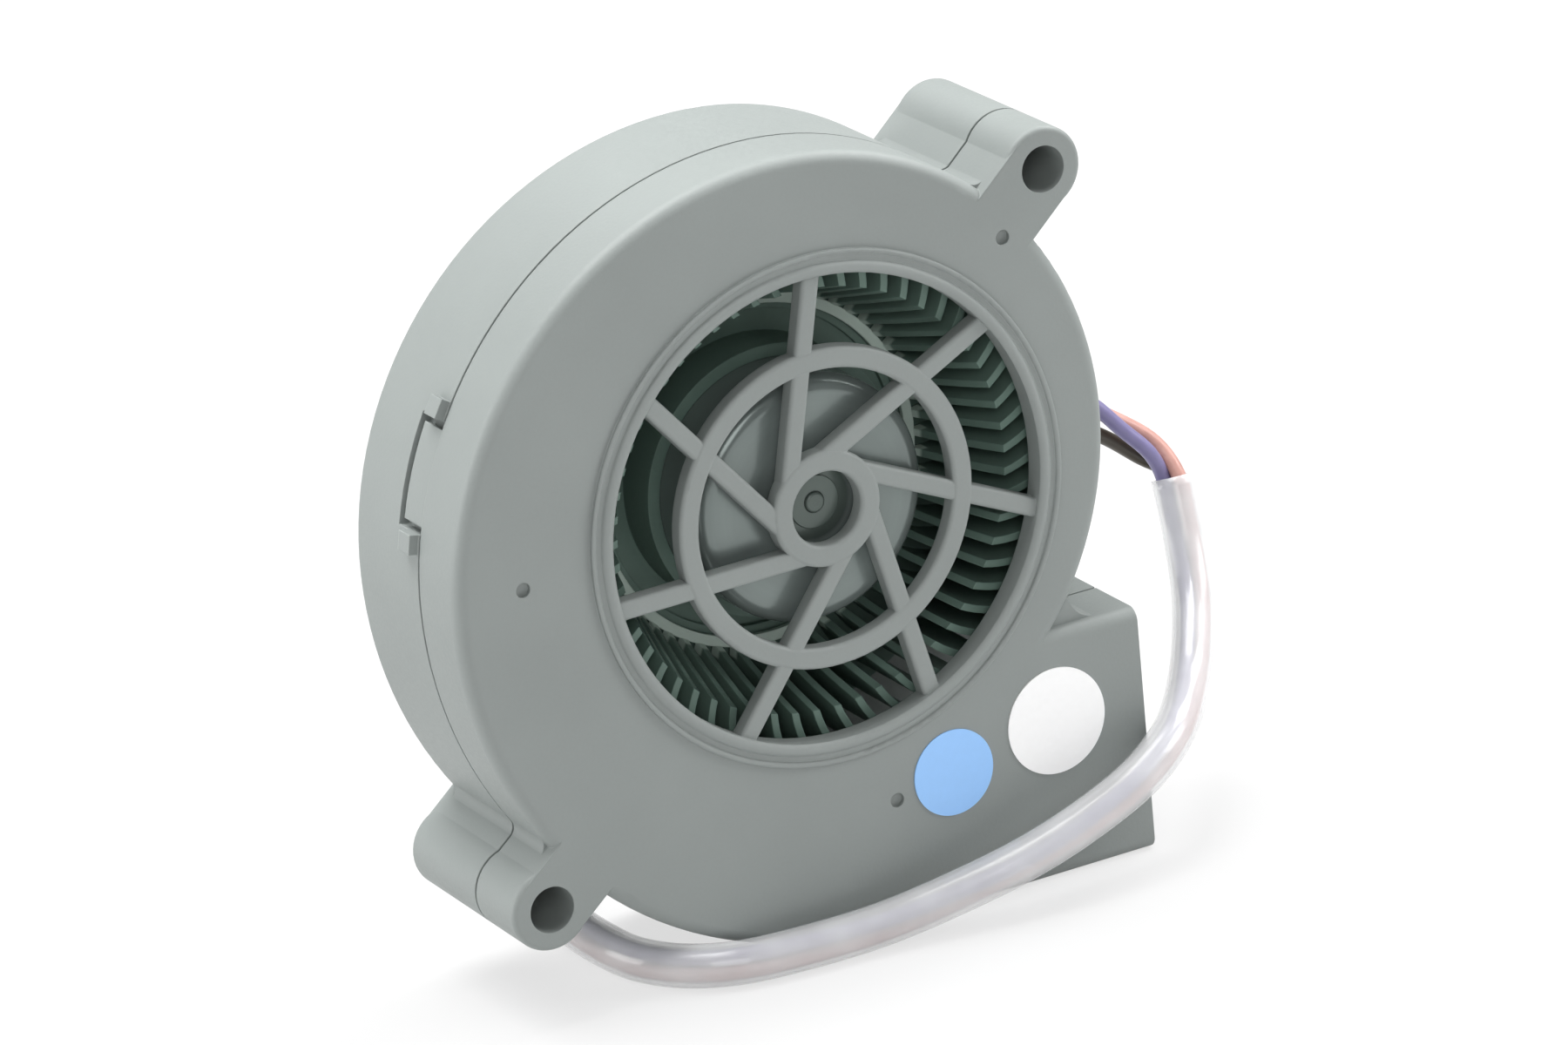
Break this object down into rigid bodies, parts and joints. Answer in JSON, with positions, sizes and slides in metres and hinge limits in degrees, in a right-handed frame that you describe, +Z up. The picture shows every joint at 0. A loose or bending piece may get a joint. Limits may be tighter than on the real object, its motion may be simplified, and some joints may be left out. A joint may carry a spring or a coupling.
{
  "type": "centrifugal blower fan",
  "caption": "Centrifugal blower for cooling in a car: scroll casing with a spoked inlet grille, bladed impeller on an outer-rotor motor, screw bosses, square outlet and sleeved lead.",
  "frame": {"origin": "on the fan axis, in the plane of the casing's rear mounting face", "axes": "+Y along the fan axis out of the rear face, so the inlet faces -Y; +Z up, away from the outlet's base; +X towards the outlet"},
  "size_m": [0.0857, 0.043, 0.0754],
  "materials": {
    "casing": "moulded, fine matte grain",
    "blades": "moulded, matte",
    "rotor_steel": "drawn, satin",
    "magnet": "bonded ferrite",
    "shaft_steel": "ground",
    "nylon": "natural nylon",
    "brass": "turned",
    "bronze": "sintered, oiled",
    "core_steel": "stamped sheet stack",
    "copper": "enamelled copper wire",
    "board": "solder resist on glass laminate",
    "black_resin": "moulded resin",
    "ceramic": "fired ceramic",
    "violet_pvc": "smooth insulation",
    "red_pvc": "smooth insulation",
    "black_pvc": "smooth insulation",
    "clear_sleeve": "translucent soft tube",
    "blue_film": "printed film",
    "white_film": "paper film"
  },
  "bodies": {
    "housing": {"front_cover": "casing", "rear_case": "casing", "bearing_tube": "brass", "sleeve_bearing": "bronze", "thrust_pad": "nylon", "stator_core": "core_steel", "front_insulator": "nylon", "rear_insulator": "nylon", "stator_windings": "copper", "winding_pins": "brass", "circuit_board": "board", "driver_chip": "black_resin", "hall_sensor": "black_resin", "board_capacitors": "ceramic", "wire_violet": "violet_pvc", "wire_red": "red_pvc", "wire_black": "black_pvc", "lead_sleeve": "clear_sleeve", "lead_connector": "nylon", "connector_terminals": "brass", "blue_sticker": "blue_film", "white_sticker": "white_film"},
    "rotor": {"impeller": "blades", "rotor_cup": "rotor_steel", "rotor_magnet": "magnet", "shaft": "shaft_steel", "oil_washer": "nylon", "shaft_clip": "shaft_steel"}
  },
  "joints": [
    {"name": "impeller_spin", "type": "hinge", "parent": "housing", "child": "rotor", "pos_m": [0, 0, 0], "axis": [0, -1, 0], "continuous": true}
  ]
}
